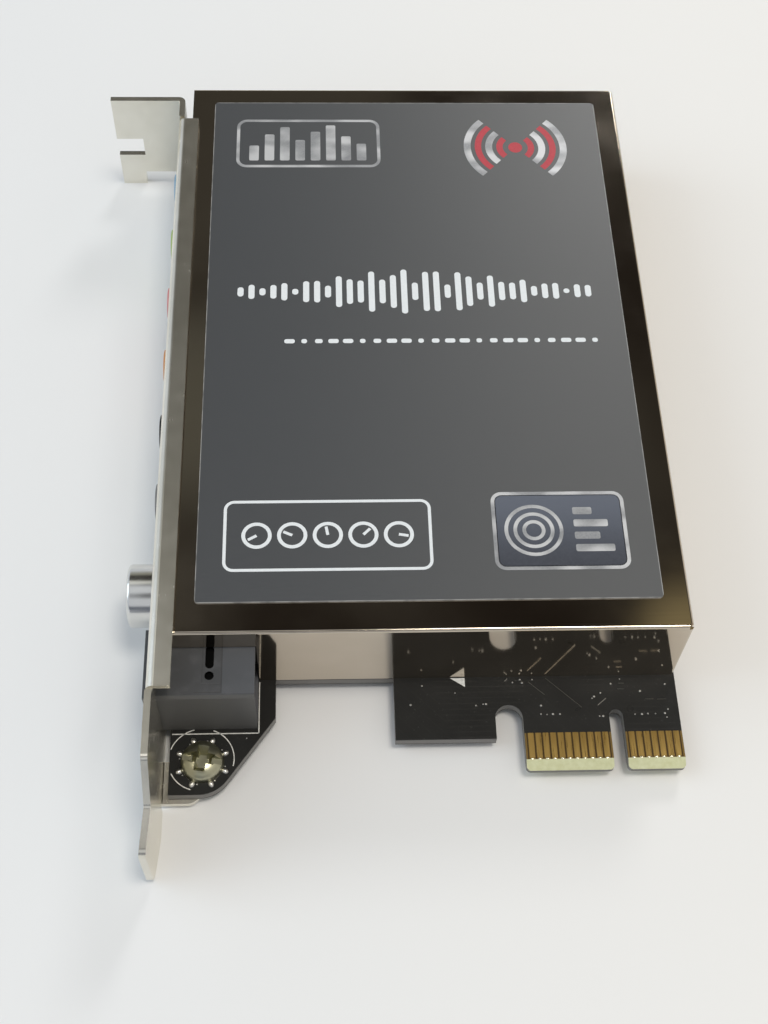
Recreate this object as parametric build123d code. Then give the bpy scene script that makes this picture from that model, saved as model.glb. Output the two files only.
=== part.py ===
"""Sound card for a short serial expansion slot, lying flat with its shield cover up.

Millimetres, +Z up. X runs from the bracket to the free side of the board, Y from the edge connector
to the far edge. Pieces are drawn with the bracket's outer face at X = 0, the near wall of the cover
at Y = 0 and the table at Z = 0, and are then moved so that the origin is the middle of the footprint.
"""

import os
from build123d import *

# Cuts start and end this far outside the faces that they open
cut_over = 1.0

# Printed board
under_board = 1.43
board_thickness = 1.57
board_gap = 0.89
board_width = 68.2
tongue_drop = 13.4
long_section = 11.65
key_width = 1.9
key_depth = 8.42
short_section = 7.65
wide_notch = 3.72
wide_notch_depth = 9.28
blank_width = 13.5
blank_drop = 8.95
bevel_length = 1.45
bevel_depth = 0.45
tongue_corner = 0.6
ear_width = 13.83
ear_side = 5.5
ear_drop = 16.05
ear_corner_out = 1.9
ear_round = 4.45
tail_out = 1.25

# Gold contacts of the edge connector
long_count = 11
short_count = 7
contact_pitch = 1.0
contact_width = 0.7
contact_start = 8.24
contact_length = 3.5
contact_thickness = 0.05

# Shield cover, one folded sheet that is open towards the bracket
cover_length = 97.75
cover_height = 14.34
cover_sheet = 0.4
cover_bend = 0.4
cover_left_inset = 0.3
cover_right_inset = 0.09
cover_seam = 0.25
cover_relief = 0.6
cover_tab_width = 4.0
cover_tab_clear = 0.15
far_tab_inset = 20.0
side_tab_inset = 26.0

# Sticker on the cover
label_side = 3.5
label_near = 4.3
label_far = 3.3
label_thickness = 0.2
label_corner = 0.6

# Slot bracket, one folded steel sheet
bracket_sheet = 0.86
bracket_bend = 0.2
flange_gap = 0.22
flange_width = 3.1
flange_below = 7.55
flange_inset = 7.7
bend_relief = 0.5
tab_inset = 3.85
tab_reach = 11.0
tab_notch_width = 3.6
tab_notch_depth = 4.25
tab_notch_low = 6.6
tab_ear_width = 3.9
tab_ear_height = 2.75
neck_length = 0.6
taper_start = 16.9
taper_round = 1.0
tongue_bend = 21.0
tongue_tip = 26.6
tongue_root = 12.6
tongue_end = 10.6
tongue_out = 0.6
tongue_bend_radius = 8.0
tongue_round = 1.5
lug_below = 5.05
lug_above = 0.75
lug_head_radius = 3.3
lug_corner = 2.0
lug_hole_clear = 0.05

# Bracket screws
screw_x = 6.07
screw_below = 11.65
upper_screw_inset = 5.45
screw_radius = 1.45
screw_head_radius = 2.85
screw_head_height = 1.9
screw_end = 0.3
screw_hole_clear = 0.15
cross_width = 0.75
cross_length = 3.0
cross_depth = 1.1

# Row of sockets along the bracket
socket_axis = 6.5
coax_y = 9.65
coax_to_jack = 14.05
last_jack_inset = 15.55
jack_gap = 2.1
seat_gap = 0.05

# Sockets for a 3.5 mm plug
jack_names = ["side_out", "rear_out", "centre_out", "microphone", "front_out", "line_in"]
plug_bore_radius = 1.8
plug_bore_depth = 14.0
nose_radius = 3.2
nose_proud = 0.9
nose_clear = 0.15
jack_above_axis = 4.8
jack_back_wall = 1.2
jack_edge = 0.6
spring_count = 3
spring_first = 2.2
spring_pitch = 3.6
spring_arm = 1.6
spring_strip = 0.3
spring_width = 1.2
spring_clear = 0.1

# Coaxial socket
shell_radius = 4.3
shell_wall = 0.8
shell_proud = 3.9
shell_bevel = 0.55
shell_pocket = 3.6
shell_clear = 0.05
coax_width = 10.4
coax_above_axis = 5.2
coax_length = 9.5
insulator_recess = 0.6
centre_radius = 2.05
centre_bore_radius = 1.62
centre_recess = 0.4
centre_end_wall = 0.5
coax_strip = 0.4
coax_strip_width = 1.2

# Optical socket with a hinged shutter
optical_y = -2.15
optical_width = 9.7
optical_height = 10.3
optical_depth = 13.75
optical_proud = 0.5
optical_clear = 0.15
optical_edge = 0.35
optical_side_wall = 0.7
optical_roof = 0.8
optical_floor = 0.9
optical_face_wall = 0.9
port_width = 7.6
port_height = 7.0
port_sill = 0.5
port_corner = 1.6
shutter_thickness = 0.8
shutter_face_gap = 0.1
shutter_side_gap = 0.15
shutter_foot_gap = 0.15
knuckle_radius = 0.62
knuckle_roof_gap = 0.1
hinge_pin_radius = 0.35
hinge_pin_clear = 0.04
hinge_pin_reach = 0.4
spring_bay = 1.5
spring_wire = 0.2
spring_wire_clear = 0.05
spring_leg = 2.6
chamber_depth = 9.0
emitter_clear = 0.05
emitter_recess = 0.5
lead_pitch = 2.54
lead_strip = 0.4
lead_inset = 1.6
lead_sink = 0.8
peg_sides = 8
peg_radius = 0.75
peg_inset = 1.6
peg_clear = 0.1
top_slot_width = 1.1
top_slot_length = 3.2
top_slot_x = 7.45
top_slot_y = -1.35
top_hole_radius = 0.6
top_hole_y = -3.95
top_recess_depth = 0.5

# Parts that are soldered to the board under the cover
processor_size = 19.0
processor_height = 1.7
processor_xy = (49.0, 24.0)
converter_size = 9.0
converter_height = 1.4
converter_xy = (33.0, 52.0)
package_chamfer = 0.4
amplifier_length = 5.0
amplifier_width = 4.0
amplifier_height = 1.5
amplifier_xy = (24.5, 33.0)
amplifier_pitch = 11.2
amplifier_count = 3
memory_size = 6.0
memory_height = 1.0
memory_xy = (57.0, 44.0)
package_lift = 0.15
lead_count = 4
package_lead_pitch = 1.27
package_lead_width = 0.42
package_lead_foil = 0.2
package_lead_reach = 1.0
crystal_length = 11.4
crystal_width = 4.7
crystal_height = 3.6
crystal_xy = (57.0, 58.0)
regulator_size = 6.6
regulator_height = 2.3
regulator_tab = 1.2
regulator_foil = 0.5
regulator_xy = (58.0, 74.0)
can_radius = 4.0
can_height = 9.2
can_base = 8.3
can_base_height = 1.0
can_base_corner = 1.3
can_xy = (21.0, 72.0)
can_pitch = 10.2
can_count = 2

# Solder on the back of the board
solder_reach = 0.7
solder_tip_reach = 0.35
solder_height = 0.8
tail_hole_clear = 0.1

# Heights that follow from the stack of board, cover and flange
board_bottom = under_board
board_top = board_bottom + board_thickness
tail_end = board_bottom - tail_out
cover_top = board_top + cover_height
flange_top = cover_top + flange_gap + bracket_sheet
bend_outer = bracket_bend + bracket_sheet
lug_bottom = board_bottom - bracket_sheet
axis_z = board_top + socket_axis

# Places along X, counted from the bracket's outer face
board_left = bracket_sheet + board_gap
board_right = board_left + board_width
cover_left = board_left + cover_left_inset
cover_right = board_right - cover_right_inset
connector_left = board_right - long_section - key_width - short_section
short_left = board_right - short_section
blank_right = connector_left - wide_notch
blank_left = blank_right - blank_width
ear_right = board_left + ear_width
socket_front = bracket_sheet + seat_gap

# Places along Y, counted from the cover's near wall
board_far = cover_length
flange_far = board_far - flange_inset
tab_seat = board_far - tab_inset
upper_screw_y = board_far - upper_screw_inset
tongue_y = -tongue_drop
lower_screw_y = -screw_below
first_jack_y = coax_y + coax_to_jack
last_jack_y = board_far - last_jack_inset
jack_pitch = (last_jack_y - first_jack_y) / (len(jack_names) - 1)
jack_width = jack_pitch - jack_gap
jack_places = [first_jack_y + jack_pitch * number for number in range(len(jack_names))]
screw_places = [(screw_x, lower_screw_y), (screw_x, upper_screw_y)]

# The origin is under the middle of the footprint
middle_x = (board_right - tab_reach) / 2
middle_y = (max(board_far, tab_seat + bracket_sheet) - tongue_tip) / 2


def block(x0, x1, y0, y1, z0, z1):
    """A box between two corners."""
    middle = Pos((x0 + x1) / 2, (y0 + y1) / 2, (z0 + z1) / 2)
    return middle * Box(x1 - x0, y1 - y0, z1 - z0)


def outline(points, radii):
    """A closed face in local x and y, with a radius at each corner."""
    return make_face(FilletPolyline(*points, radius=radii, close=True))


def prism_x(points, radii, x0, x1):
    """An outline in Y and Z, carried along X."""
    return extrude(Plane.YZ.offset(x0) * outline(points, radii), x1 - x0)


def housing(y, half, top, edge, x0, x1):
    """A moulded block on the board, with its two upper edges bevelled."""
    points = [(y - half, board_top), (y + half, board_top), (y + half, top - edge), (y + half - edge, top),
              (y - half + edge, top), (y - half, top - edge)]
    return prism_x(points, [0] * len(points), x0, x1)


def prism_y(points, radii, y0, y1):
    """An outline in X and Z, carried along Y."""
    return extrude(Plane.XZ.offset(-y1) * outline(points, radii), y1 - y0)


def prism_z(points, radii, z0, z1):
    """An outline in X and Y, carried up."""
    return extrude(Plane.XY.offset(z0) * outline(points, radii), z1 - z0)


def rod_x(radius, x0, x1, y, z):
    """A round bar along X."""
    return Pos((x0 + x1) / 2, y, z) * Rot(0, 90, 0) * Cylinder(radius, x1 - x0)


def rod_y(radius, y0, y1, x, z):
    """A round bar along Y."""
    return Pos(x, (y0 + y1) / 2, z) * Rot(90, 0, 0) * Cylinder(radius, y1 - y0)


def rod_z(radius, z0, z1, x, y):
    """A round bar upright."""
    return Pos(x, y, (z0 + z1) / 2) * Cylinder(radius, z1 - z0)


def turned_x(profile, y, z):
    """A piece turned about a line along X, from its half section in X and radius."""
    return Pos(0, y, z) * revolve(make_face(Polyline(*profile, close=True)), Axis.X)


# Tails that pass through the board: middle of each, its thickness along X and its width along Y
spring_x = [socket_front + spring_first + spring_pitch * number for number in range(spring_count)]
jack_tails = [(x, y, spring_strip, spring_width) for y in jack_places for x in spring_x]
coax_back = socket_front + coax_length
shell_tail_x = socket_front + shell_pocket / 2
centre_tail_x = coax_back + coax_strip / 2
coax_tails = [(x, coax_y, coax_strip, coax_strip_width) for x in (shell_tail_x, centre_tail_x)]
optical_front = -optical_proud
optical_back = optical_front + optical_depth
optical_near = optical_y - optical_width / 2
optical_far = optical_y + optical_width / 2
optical_top = board_top + optical_height
lead_x = optical_back - emitter_recess - lead_inset
lead_tails = [(lead_x, optical_y + lead_pitch * step, lead_strip, lead_strip) for step in (-1, 0, 1)]
tails = jack_tails + coax_tails + lead_tails
peg_x = optical_front + optical_face_wall + chamber_depth / 2
peg_places = [(peg_x, optical_near + peg_inset), (peg_x, optical_far - peg_inset)]

# Tabs of the cover: middle of each along its wall
far_tab_x = [cover_left + far_tab_inset, cover_right - far_tab_inset]
side_tab_y = [side_tab_inset, cover_length - side_tab_inset]


def tab_spots(clear):
    """Footprints of the cover's tabs, or with a clearance of their cuts in the board."""
    half = cover_tab_width / 2 + clear
    far_in = cover_length - cover_sheet - clear
    far = [(x - half, x + half, far_in, cover_length + clear) for x in far_tab_x]
    side_in = cover_right - cover_sheet - clear
    side = [(side_in, cover_right + clear, y - half, y + half) for y in side_tab_y]
    return far + side


# Printed board: one outline with the ear, the blank tab and the two sections of the edge connector.
# The three faces of the tongue's end are bevelled so that it starts easily into its slot.
def make_board():
    main = Polyline((board_left, 0), (board_right, 0), (board_right, board_far),
        (board_left, board_far), close=True)
    corner_x = screw_x + ear_corner_out
    ear = outline(
        [(board_left, cut_over), (board_left, -ear_drop), (corner_x, -ear_drop), (ear_right, -ear_side),
         (ear_right, cut_over)],
        [0, 0, ear_round, 0, 0],
    )
    blank = outline(
        [(blank_left, cut_over), (blank_left, -blank_drop), (connector_left, -blank_drop),
         (connector_left, cut_over)],
        [0, 0, 0, 0],
    )
    tongue = outline(
        [(connector_left - cut_over, cut_over), (connector_left - cut_over, tongue_y),
         (board_right, tongue_y), (board_right, cut_over)],
        [0, 0, 0, 0],
    )
    key_middle = short_left - key_width / 2
    wide_middle = connector_left - wide_notch / 2
    face = make_face(main) + ear + blank + tongue
    for middle, width, depth in ((key_middle, key_width, key_depth),
            (wide_middle, wide_notch, wide_notch_depth)):
        face -= Pos(middle, tongue_y) * SlotOverall(2 * depth, width, rotation=90)
    corners = face.vertices().filter_by_position(Axis.Y, tongue_y - tongue_corner, tongue_y + tongue_corner)
    corners = corners.filter_by_position(Axis.X, blank_right, board_right + tongue_corner)
    face = fillet(corners, tongue_corner)
    for x, y in screw_places:
        face -= Pos(x, y) * Circle(screw_radius + screw_hole_clear)
    for x, y, thick, wide in tails:
        face -= Pos(x, y) * Rectangle(thick + 2 * tail_hole_clear, wide + 2 * tail_hole_clear)
    for x, y in peg_places:
        face -= Pos(x, y) * RegularPolygon(peg_radius + peg_clear, peg_sides)
    for x0, x1, y0, y1 in tab_spots(cover_tab_clear):
        face -= Pos((x0 + x1) / 2, (y0 + y1) / 2) * Rectangle(x1 - x0, y1 - y0)
    body = extrude(Plane.XY.offset(board_bottom) * face, board_thickness)
    for face_z, cut_z in ((board_bottom, board_bottom + bevel_depth), (board_top, board_top - bevel_depth)):
        wedge = [(tongue_y, face_z), (tongue_y + bevel_length, face_z), (tongue_y, cut_z)]
        body -= prism_x(wedge, [0, 0, 0], connector_left - cut_over, board_right + cut_over)
    return body


# Gold contacts: the same row on both faces of the tongue, one pad for each spring of the slot.
def make_contacts(z0, z1):
    top = -contact_start
    pads = []
    for left, width, count in ((connector_left, long_section, long_count),
            (short_left, short_section, short_count)):
        first = left + width / 2 - contact_pitch * (count - 1) / 2
        for number in range(count):
            x = first + contact_pitch * number
            pads.append(block(x - contact_width / 2, x + contact_width / 2, top - contact_length, top,
                z0, z1))
    return Compound(children=pads)


# Shield cover: top and three walls folded from one sheet, open towards the bracket, with a slit and a
# small relief at each folded corner, a window for the optical socket and tabs that go through the board.
def make_cover():
    shell = prism_y(
        [(cover_left, board_top), (cover_right, board_top), (cover_right, cover_top),
         (cover_left, cover_top)],
        [0, 0, cover_bend, 0], 0, cover_length,
    )
    ends = shell.edges().filter_by(Axis.X).group_by(Axis.Z)[-1]
    shell = fillet(ends, cover_bend)
    side_in = cover_right - cover_sheet
    far_in = cover_length - cover_sheet
    below = board_top - cut_over
    shell -= block(cover_left - cut_over, side_in, cover_sheet, far_in, below, cover_top - cover_sheet)
    seam_top = cover_top - cover_bend
    for y0, y1 in ((cover_sheet, cover_sheet + cover_seam), (far_in - cover_seam, far_in)):
        shell -= block(side_in - cut_over, cover_right + cut_over, y0, y1, below, seam_top)
    relief_x = cover_right - cover_relief
    relief_z = cover_top - cover_relief
    above = cover_top + cut_over
    for y0, y1 in ((-cut_over, cover_relief), (cover_length - cover_relief, cover_length + cut_over)):
        shell -= block(relief_x, cover_right + cut_over, y0, y1, relief_z, above)
    window_top = optical_top + optical_clear
    window_right = optical_back + optical_clear
    shell -= block(cover_left - cut_over, window_right, -cut_over, 2 * cover_sheet, below, window_top)
    return shell + [block(*spot, tail_end, board_top + cover_sheet) for spot in tab_spots(0)]


# Sticker: thin film with small round corners, stuck flat on the cover.
def make_label():
    x0 = cover_left + label_side
    x1 = cover_right - label_side
    y1 = cover_length - label_far
    points = [(x0, label_near), (x1, label_near), (x1, y1), (x0, y1)]
    return prism_z(points, [label_corner] * 4, cover_top, cover_top + label_thickness)


# Slot bracket: the sheet's run in plan is tongue, plate, bend and tab. Its side outline, the long
# flange over the cover, the two lugs under the board and the socket holes are then added or cut.
def make_bracket():
    mid = bracket_sheet / 2
    run = FilletPolyline(
        (mid - tongue_out, -tongue_tip), (mid, -tongue_bend),
        (mid, tab_seat + mid), (-tab_reach, tab_seat + mid),
        radius=[tongue_bend_radius, bracket_bend + mid],
    )
    sheet = extrude(trace(run, bracket_sheet), flange_top)
    tab_left = -tab_reach - cut_over
    tab_far = tab_seat + bracket_sheet + cut_over
    side = prism_x(
        [(-tongue_tip, 0), (tab_seat - neck_length, 0), (tab_seat - neck_length, tab_ear_height),
         (tab_far, tab_ear_height), (tab_far, flange_top),
         (-taper_start, flange_top), (-tongue_bend, tongue_root), (-tongue_tip, tongue_end)],
        [tongue_round, 0, 0, 0, 0, taper_round, taper_round, tongue_round],
        tab_left, bend_outer + cut_over,
    )
    ear_x = tab_ear_width - tab_reach
    ear = block(tab_left, ear_x, tab_seat - cut_over, tab_far, 0, flange_top)
    sheet &= side + ear
    notch_end = tab_notch_depth - tab_reach
    notch_high = tab_notch_low + tab_notch_width
    sheet -= prism_y(
        [(tab_left, tab_notch_low), (notch_end, tab_notch_low), (notch_end, notch_high),
         (tab_left, notch_high)],
        [0, 0, 0, 0], tab_seat - cut_over, tab_far,
    )
    near = -flange_below
    relief_z = flange_top - bend_outer
    sheet -= block(-cut_over, bend_outer, near - bend_relief, flange_far + bend_relief, relief_z,
        flange_top + cut_over)
    flange_low = flange_top - bracket_sheet
    root_z = relief_z - bend_relief
    sheet += prism_y(
        [(0, root_z), (0, flange_top), (flange_width, flange_top), (flange_width, flange_low),
         (bracket_sheet, flange_low), (bracket_sheet, root_z)],
        [0, bend_outer, 0, 0, bracket_bend, 0], near, flange_far,
    )
    fold_x = bend_outer + bend_relief
    fold_z = board_bottom + bracket_bend + bend_relief
    for x, y in screw_places:
        y0 = y - lug_below
        y1 = y + lug_above
        sheet -= block(-cut_over, bend_outer, y0 - bend_relief, y1 + bend_relief, -cut_over,
            fold_z - bend_relief)
        sheet += prism_y(
            [(0, fold_z), (0, lug_bottom), (fold_x, lug_bottom), (fold_x, board_bottom),
             (bracket_sheet, board_bottom),
             (bracket_sheet, fold_z)],
            [0, bend_outer, 0, 0, bracket_bend, 0], y0, y1,
        )
        foot = outline([(fold_x, y0), (x, y0), (x, y1), (fold_x, y1)], [0, lug_corner, 0, 0])
        foot += Pos(x, y) * Circle(lug_head_radius)
        foot -= Pos(x, y) * Circle(screw_radius + lug_hole_clear)
        far_x = x + lug_head_radius
        far_y = y + lug_head_radius
        keep = outline([(fold_x, y0), (far_x, y0), (far_x, far_y), (fold_x, far_y)], [0, 0, 0, 0])
        sheet += extrude(Plane.XY.offset(lug_bottom) * (foot & keep), bracket_sheet)
    for y in jack_places:
        sheet -= rod_x(nose_radius + nose_clear, -cut_over, bend_outer, y, axis_z)
    sheet -= rod_x(shell_radius + nose_clear, -cut_over, bend_outer, coax_y, axis_z)
    return sheet - block(
        -cut_over, bend_outer, optical_near - optical_clear, optical_far + optical_clear,
        board_top - optical_clear, optical_top + optical_clear,
    )


# Bracket screw: a round head with a cross recess. It passes through the board into a lug.
def make_screw(x, y):
    head_top = board_top + screw_head_height
    half_section = make_face(Polyline(
        (0, lug_bottom - screw_end), (screw_radius, lug_bottom - screw_end), (screw_radius, board_top),
        (screw_head_radius, board_top), (screw_head_radius, head_top), (0, head_top),
        close=True,
    ))
    screw = Pos(x, y, 0) * revolve(Plane.XZ * half_section, Axis.Z)
    for turn in (45, 135):
        arm = Box(cross_length, cross_width, cross_depth, align=(Align.CENTER, Align.CENTER, Align.MAX))
        screw -= Pos(x, y, head_top) * Rot(0, 0, turn) * arm
    return screw


# Socket for a 3.5 mm plug: a moulded block with a round nose through the bracket, a blind bore for the
# plug, and a pocket under the bore for each spring strip.
jack_length = plug_bore_depth + jack_back_wall - nose_proud - socket_front


def make_jack_housing(y):
    half = jack_width / 2
    top = axis_z + jack_above_axis
    body = housing(y, half, top, jack_edge, socket_front, socket_front + jack_length)
    body += rod_x(nose_radius, -nose_proud, socket_front, y, axis_z)
    bore_end = plug_bore_depth - nose_proud
    body -= rod_x(plug_bore_radius, -nose_proud - cut_over, bore_end, y, axis_z)
    half_pocket = spring_width / 2 + spring_clear
    for x in spring_x:
        start = x - spring_strip / 2 - spring_clear
        end = x + spring_strip / 2 + spring_arm + spring_clear
        body -= block(start, end, y - half_pocket, y + half_pocket, board_top - cut_over, axis_z)
    return body


# Spring strips of one socket: an upright leg with a tail through the board and an arm under the bore.
def make_jack_springs(y):
    arm_top = axis_z - plug_bore_radius - spring_clear
    arm_low = arm_top - spring_strip
    strips = []
    for x in spring_x:
        x0 = x - spring_strip / 2
        x1 = x + spring_strip / 2
        strips.append(prism_y(
            [(x0, tail_end), (x1, tail_end), (x1, arm_low), (x1 + spring_arm, arm_low),
             (x1 + spring_arm, arm_top), (x0, arm_top)],
            [0, 0, 0, 0, 0, 0], y - spring_width / 2, y + spring_width / 2,
        ))
    return Compound(children=strips)


# Coaxial socket: a turned shell with a bevelled rim, an insulating sleeve and a centre tube, all held in
# a moulded block. A tail on the shell and one on the tube go down through the board.
pocket_end = socket_front + shell_pocket
shell_bore = shell_radius - shell_wall


def make_coax_shell():
    front = -shell_proud
    shell = turned_x(
        [(front, shell_bore), (front, shell_radius - shell_bevel), (front + shell_bevel, shell_radius),
         (pocket_end, shell_radius), (pocket_end, shell_bore)],
        coax_y, axis_z,
    )
    half = coax_strip_width / 2
    tail_top = axis_z - shell_bore - shell_wall / 2
    tail = block(
        shell_tail_x - coax_strip / 2, shell_tail_x + coax_strip / 2,
        coax_y - half, coax_y + half, tail_end, tail_top,
    )
    return shell + tail


def make_coax_insulator():
    front = insulator_recess - shell_proud
    outer = shell_bore - shell_clear
    inner = centre_radius + shell_clear
    profile = [(front, inner), (front, outer), (pocket_end, outer), (pocket_end, inner)]
    return turned_x(profile, coax_y, axis_z)


def make_coax_centre():
    front = insulator_recess + centre_recess - shell_proud
    end = pocket_end - centre_end_wall
    tube = turned_x(
        [(front, centre_bore_radius), (front, centre_radius), (pocket_end, centre_radius),
         (pocket_end, 0), (end, 0), (end, centre_bore_radius)], coax_y, axis_z,
    )
    half = coax_strip_width / 2
    back = coax_back + coax_strip
    root = pocket_end - centre_end_wall / 2
    strip_low = axis_z - coax_strip
    strip = prism_y(
        [(root, strip_low), (coax_back, strip_low), (coax_back, tail_end), (back, tail_end), (back, axis_z),
         (root, axis_z)],
        [0] * 6, coax_y - half, coax_y + half,
    )
    return tube + strip


def make_coax_housing():
    half = coax_width / 2
    top = axis_z + coax_above_axis
    body = housing(coax_y, half, top, jack_edge, socket_front, coax_back)
    body -= rod_x(shell_radius + shell_clear, socket_front - cut_over, pocket_end, coax_y, axis_z)
    slot = coax_strip_width / 2 + spring_clear
    deep = coax_strip / 2 + spring_clear
    below = board_top - cut_over
    body -= block(shell_tail_x - deep, shell_tail_x + deep, coax_y - slot, coax_y + slot, below, axis_z)
    low = axis_z - coax_strip - spring_clear
    high = axis_z + spring_clear
    return body - block(pocket_end - cut_over, coax_back + cut_over, coax_y - slot, coax_y + slot, low, high)


# Optical socket: a moulded box with a port in its face, a chamber for the plug, and an emitter let in
# from the back. The shutter hangs on two pins behind the face and swings in under the roof.
chamber_front = optical_front + optical_face_wall
chamber_end = chamber_front + chamber_depth
chamber_low = board_top + optical_floor
chamber_high = optical_top - optical_roof
chamber_half = optical_width / 2 - optical_side_wall
hinge_x = chamber_front + knuckle_radius + shutter_face_gap
hinge_z = chamber_high - knuckle_radius - knuckle_roof_gap
shutter_half = chamber_half - shutter_side_gap
bay_start = optical_y + shutter_half - spring_bay


def make_optical_housing():
    body = housing(optical_y, optical_width / 2, optical_top, optical_edge, optical_front, optical_back)
    body -= block(
        chamber_front, optical_back + cut_over, optical_y - chamber_half, optical_y + chamber_half,
        chamber_low, chamber_high,
    )
    low = chamber_low + port_sill
    high = low + port_height
    half = port_width / 2
    left = optical_y - half
    right = optical_y + half
    body -= prism_x(
        [(left, low), (right, low), (right, high - port_corner), (right - port_corner, high),
         (left + port_corner, high), (left, high - port_corner)],
        [0] * 6, optical_front - cut_over, chamber_front + shutter_face_gap,
    )
    reach = chamber_half + hinge_pin_reach + shutter_side_gap
    hole = hinge_pin_radius + hinge_pin_clear
    body -= rod_y(hole, optical_y - reach, optical_y + reach, hinge_x, hinge_z)
    for x, y in peg_places:
        body += extrude(Pos(x, y, board_bottom) * RegularPolygon(peg_radius, peg_sides), board_thickness)
    for x, y, thick, wide in lead_tails:
        deep = thick / 2 + spring_clear
        side = wide / 2 + spring_clear
        body -= block(x - deep, x + deep, y - side, y + side, board_top - cut_over, chamber_low + cut_over)
    slot = SlotOverall(top_slot_length, top_slot_width, rotation=90)
    recess = Pos(top_slot_x, top_slot_y) * slot + Pos(top_slot_x, top_hole_y) * Circle(top_hole_radius)
    recess_low = Plane.XY.offset(optical_top - top_recess_depth)
    return body - extrude(recess_low * recess, top_recess_depth + cut_over)


def make_shutter():
    front = chamber_front + shutter_face_gap
    back = front + shutter_thickness
    near = optical_y - shutter_half
    far = optical_y + shutter_half
    foot = chamber_low + shutter_foot_gap
    flap = block(front, back, near, bay_start, foot, hinge_z)
    flap += block(front, back, near, far, foot, hinge_z - knuckle_radius - spring_wire)
    flap += rod_y(knuckle_radius, near, bay_start, hinge_x, hinge_z)
    reach = chamber_half + hinge_pin_reach
    return flap + rod_y(hinge_pin_radius, optical_y - reach, optical_y + reach, hinge_x, hinge_z)


def make_shutter_spring():
    inner = hinge_pin_radius + spring_wire_clear
    outer = inner + spring_wire
    start = bay_start + spring_wire_clear
    end = optical_y + shutter_half
    core = rod_y(inner, start - cut_over, end + cut_over, hinge_x, hinge_z)
    coil = rod_y(outer, start, end, hinge_x, hinge_z) - core
    back = chamber_front + shutter_face_gap + shutter_thickness
    leg_x = max(back, hinge_x + inner)
    leg = block(leg_x, leg_x + spring_wire, start, start + spring_wire, hinge_z - spring_leg, hinge_z)
    return coil + (leg - core)


def make_emitter():
    half = chamber_half - emitter_clear
    low = chamber_low + emitter_clear
    high = chamber_high - emitter_clear
    back = optical_back - emitter_recess
    body = block(chamber_end, back, optical_y - half, optical_y + half, low, high)
    for x, y, thick, wide in lead_tails:
        body -= block(x - thick / 2, x + thick / 2, y - wide / 2, y + wide / 2, low, low + lead_sink)
    return body


def make_emitter_leads():
    top = chamber_low + emitter_clear + lead_sink
    return Compound(children=[
        block(x - thick / 2, x + thick / 2, y - wide / 2, y + wide / 2, tail_end, top)
        for x, y, thick, wide in lead_tails
    ])


# Moulded chip with bevelled upper edges, standing on the board.
def make_package(x, y, length, width, z0, z1):
    body = block(x - length / 2, x + length / 2, y - width / 2, y + width / 2, z0, z1)
    return chamfer(body.faces().sort_by(Axis.Z)[-1].edges(), package_chamfer)


# Small two-row chip: the moulded body with four bent leads along each long side.
def make_small_chip(x, y):
    low = board_top + package_lift
    high = board_top + amplifier_height
    chip = make_package(x, y, amplifier_width, amplifier_length, low, high)
    shoulder = (low + high) / 2
    root = amplifier_width / 2 - package_lead_foil
    toe = amplifier_width / 2 + package_lead_reach
    foil = package_lead_foil
    for number in range(lead_count):
        middle = y + package_lead_pitch * (number - (lead_count - 1) / 2)
        for turn in (1, -1):
            lead = prism_y(
                [(x + turn * root, shoulder), (x + turn * toe, board_top + foil), (x + turn * toe, board_top),
                 (x + turn * root, shoulder - foil)],
                [0] * 4, middle - package_lead_width / 2, middle + package_lead_width / 2,
            )
            chip += lead
    return chip


# Crystal: a drawn can with rounded ends.
def make_crystal():
    x, y = crystal_xy
    return extrude(Pos(x, y, board_top) * SlotOverall(crystal_length, crystal_width), crystal_height)


# Voltage regulator: a moulded block on a metal tab that carries its heat into the board.
def make_regulator():
    x, y = regulator_xy
    body = make_package(x, y, regulator_size, regulator_size, board_top, board_top + regulator_height)
    side = regulator_size / 2
    end = y + side + regulator_tab
    return body + block(x - side, x + side, y, end, board_top, board_top + regulator_foil)


# Electrolytic capacitors: each an aluminium can on a square moulded base with two corners cut.
can_places = [(can_xy[0], can_xy[1] + can_pitch * number) for number in range(can_count)]


def make_can_bases():
    half = can_base / 2
    bases = []
    for x, y in can_places:
        cut = half - can_base_corner
        points = [(x - half, y - half), (x + cut, y - half), (x + half, y - cut),
                  (x + half, y + cut), (x + cut, y + half), (x - half, y + half)]
        bases.append(prism_z(points, [0] * 6, board_top, board_top + can_base_height))
    return Compound(children=bases)


def make_cans():
    low = board_top + can_base_height
    high = low + can_height
    return Compound(children=[rod_z(can_radius, low, high, x, y) for x, y in can_places])


# Solder: a small sloped joint round each tail on the back of the board.
def make_solder():
    low = board_bottom - solder_height
    joints = []
    for x, y, thick, wide in tails:
        half_x = thick / 2
        half_y = wide / 2
        wide_x = half_x + solder_reach
        wide_y = half_y + solder_reach
        tip_x = half_x + solder_tip_reach
        tip_y = half_y + solder_tip_reach
        along_x = [(x - wide_x, board_bottom), (x + wide_x, board_bottom), (x + tip_x, low), (x - tip_x, low)]
        along_y = [(y - wide_y, board_bottom), (y + wide_y, board_bottom), (y + tip_y, low), (y - tip_y, low)]
        joint = prism_y(along_x, [0] * 4, y - wide_y, y + wide_y)
        joint &= prism_x(along_y, [0] * 4, x - wide_x, x + wide_x)
        tail = block(x - half_x, x + half_x, y - half_y, y + half_y, tail_end, board_top)
        joints.append(joint - tail)
    return Compound(children=joints)


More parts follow.
